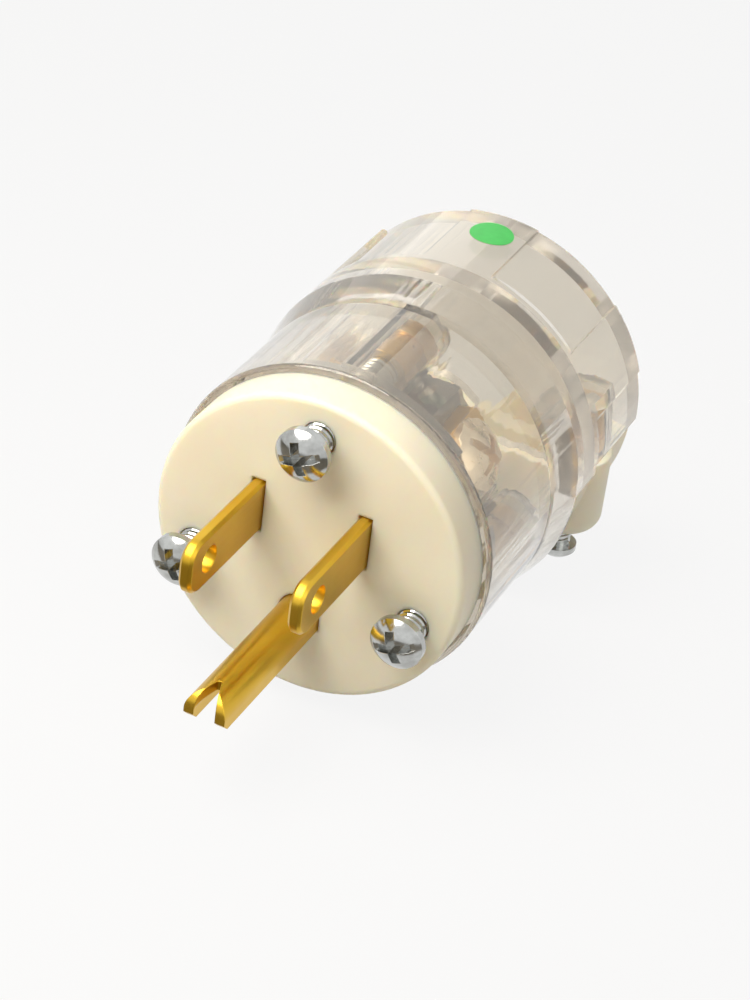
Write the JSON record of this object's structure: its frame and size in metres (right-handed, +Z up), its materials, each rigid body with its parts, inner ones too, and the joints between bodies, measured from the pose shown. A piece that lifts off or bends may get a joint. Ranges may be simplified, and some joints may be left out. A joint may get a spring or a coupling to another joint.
{
  "type": "type b plug",
  "caption": "Grounded flat-blade mains plug with a round clear shell, cream front face, proud face screws and a saddle that clamps the cord.",
  "frame": {"origin": "centre of the front face, in the plane that meets the receptacle", "axes": "+Y along the plug's axis from the face to the cord entry, +Z up, the ground pin below, blades towards -Y, +X to the neutral blade"},
  "size_m": [0.0404, 0.0687, 0.0405],
  "materials": {
    "nylon": "satin moulded nylon",
    "clear_plastic": "clear moulded plastic",
    "blade_brass": "bright stamped brass",
    "insert_brass": "turned brass",
    "screw_steel": "bright zinc plate"
  },
  "bodies": {
    "root": {"front_face": "nylon", "line_blade": "blade_brass", "neutral_blade": "blade_brass", "ground_pin": "blade_brass", "inner_retainer": "clear_plastic", "clear_shell": "clear_plastic", "cord_clamp": "nylon", "line_clamp_plate": "blade_brass", "line_terminal_screw": "screw_steel", "neutral_clamp_plate": "blade_brass", "neutral_terminal_screw": "screw_steel", "ground_clamp_plate": "blade_brass", "ground_terminal_screw": "screw_steel", "top_face_insert": "insert_brass", "top_face_screw": "screw_steel", "right_face_insert": "insert_brass", "right_face_screw": "screw_steel", "left_face_insert": "insert_brass", "left_face_screw": "screw_steel", "right_clamp_insert": "insert_brass", "right_clamp_screw": "screw_steel", "left_clamp_insert": "insert_brass", "left_clamp_screw": "screw_steel"}
  },
  "joints": []
}
